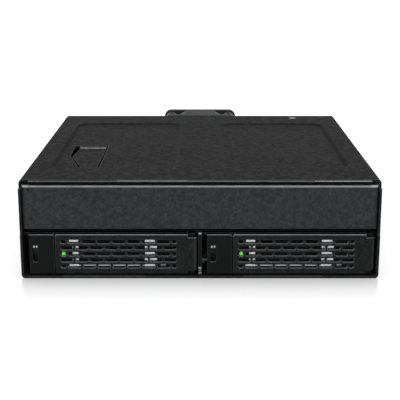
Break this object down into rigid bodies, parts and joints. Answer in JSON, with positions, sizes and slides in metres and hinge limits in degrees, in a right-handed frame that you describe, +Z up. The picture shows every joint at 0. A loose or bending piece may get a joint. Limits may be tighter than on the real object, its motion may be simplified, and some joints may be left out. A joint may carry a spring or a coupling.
{
  "type": "drive cage",
  "caption": "Steel half-height bay cage with a blanked upper compartment, side-by-side hot-swap drive carriers with slotted lever doors, and a rear fan.",
  "frame": {"origin": "middle of the lower front edge of the cage, on its underside", "axes": "+X to the right seen from the front, +Y towards the fan at the rear, +Z up"},
  "size_m": [0.146, 0.1739, 0.041],
  "materials": {
    "cage_paint": "satin",
    "cover_paint": "satin",
    "blank_paint": "satin",
    "door_paint": "satin",
    "plated_steel": "satin",
    "spring_steel": "satin",
    "pin_steel": "satin",
    "black_screws": "satin",
    "board": "satin",
    "lamp_green": "gloss",
    "connector_plastic": "matte",
    "switch_plastic": "matte",
    "gasket_rubber": "matte",
    "fan_plastic": "matte",
    "rotor_plastic": "matte",
    "copper_winding": "satin",
    "rail_plastic": "matte",
    "bezel_plastic": "matte",
    "latch_plastic": "matte",
    "lock_plastic": "matte",
    "light_guide": "gloss"
  },
  "bodies": {
    "cage": {"chassis_body": "cage_paint", "top_cover": "cover_paint", "mid_shelf": "cage_paint", "centre_divider": "cage_paint", "rear_plate": "cage_paint", "cover_clip": "plated_steel", "cover_screws": "black_screws", "standoffs": "plated_steel", "board_screws": "plated_steel", "backplane_board": "board", "board_leds": "lamp_green", "fan_header": "connector_plastic", "drive_port_a": "connector_plastic", "drive_port_b": "connector_plastic", "data_port_a": "connector_plastic", "data_port_b": "connector_plastic", "power_port": "connector_plastic", "speed_switch_body": "plated_steel", "fan_gasket": "gasket_rubber", "fan_frame": "fan_plastic", "fan_stator": "copper_winding", "fan_screws": "plated_steel", "fan_nuts": "plated_steel", "guide_rails": "rail_plastic"},
    "rotor": {"fan_rotor": "rotor_plastic"},
    "switch_knob": {"speed_switch_knob": "switch_plastic"},
    "blank": {"blank_cover": "blank_paint", "blank_clips": "spring_steel"},
    "carrier_a": {"sled_a": "plated_steel", "runners_a": "rail_plastic", "bezel_a": "bezel_plastic", "hinge_pin_a": "pin_steel", "light_pipe_a": "light_guide", "tray_screws_a": "plated_steel"},
    "door_a": {"lever_door_a": "door_paint"},
    "latch_body_a": {"latch_a": "latch_plastic"},
    "lock_a": {"lock_slider_a": "lock_plastic"},
    "carrier_b": {"sled_b": "plated_steel", "runners_b": "rail_plastic", "bezel_b": "bezel_plastic", "hinge_pin_b": "pin_steel", "light_pipe_b": "light_guide", "tray_screws_b": "plated_steel"},
    "door_b": {"lever_door_b": "door_paint"},
    "latch_body_b": {"latch_b": "latch_plastic"},
    "lock_b": {"lock_slider_b": "lock_plastic"}
  },
  "joints": [
    {"name": "fan_spin", "type": "hinge", "parent": "cage", "child": "rotor", "pos_m": [0, 0.16, 0.0205], "axis": [0, 1, 0], "continuous": true},
    {"name": "fan_speed_switch", "type": "slide", "parent": "cage", "child": "switch_knob", "axis": [1, 0, 0], "range_m": [0, 0.002]},
    {"name": "blank_slide", "type": "slide", "parent": "cage", "child": "blank", "axis": [0, -1, 0], "range_m": [0, 0.03]},
    {"name": "carrier_slide_a", "type": "slide", "parent": "cage", "child": "carrier_a", "axis": [0, -1, 0], "range_m": [0, 0.135]},
    {"name": "door_hinge_a", "type": "hinge", "parent": "carrier_a", "child": "door_a", "pos_m": [-0.0033, 0.0026, 0.0106], "axis": [0, 0, 1], "range_deg": [0, 90]},
    {"name": "latch_slide_a", "type": "slide", "parent": "carrier_a", "child": "latch_body_a", "axis": [-1, 0, 0], "range_m": [0, 0.0015], "stiffness_N_per_m": 400},
    {"name": "lock_slide_a", "type": "slide", "parent": "latch_body_a", "child": "lock_a", "axis": [0, 0, -1], "range_m": [0, 0.0032]},
    {"name": "carrier_slide_b", "type": "slide", "parent": "cage", "child": "carrier_b", "axis": [0, -1, 0], "range_m": [0, 0.135]},
    {"name": "door_hinge_b", "type": "hinge", "parent": "carrier_b", "child": "door_b", "pos_m": [0.0691, 0.0026, 0.0106], "axis": [0, 0, 1], "range_deg": [0, 90]},
    {"name": "latch_slide_b", "type": "slide", "parent": "carrier_b", "child": "latch_body_b", "axis": [-1, 0, 0], "range_m": [0, 0.0015], "stiffness_N_per_m": 400},
    {"name": "lock_slide_b", "type": "slide", "parent": "latch_body_b", "child": "lock_b", "axis": [0, 0, -1], "range_m": [0, 0.0032]}
  ]
}
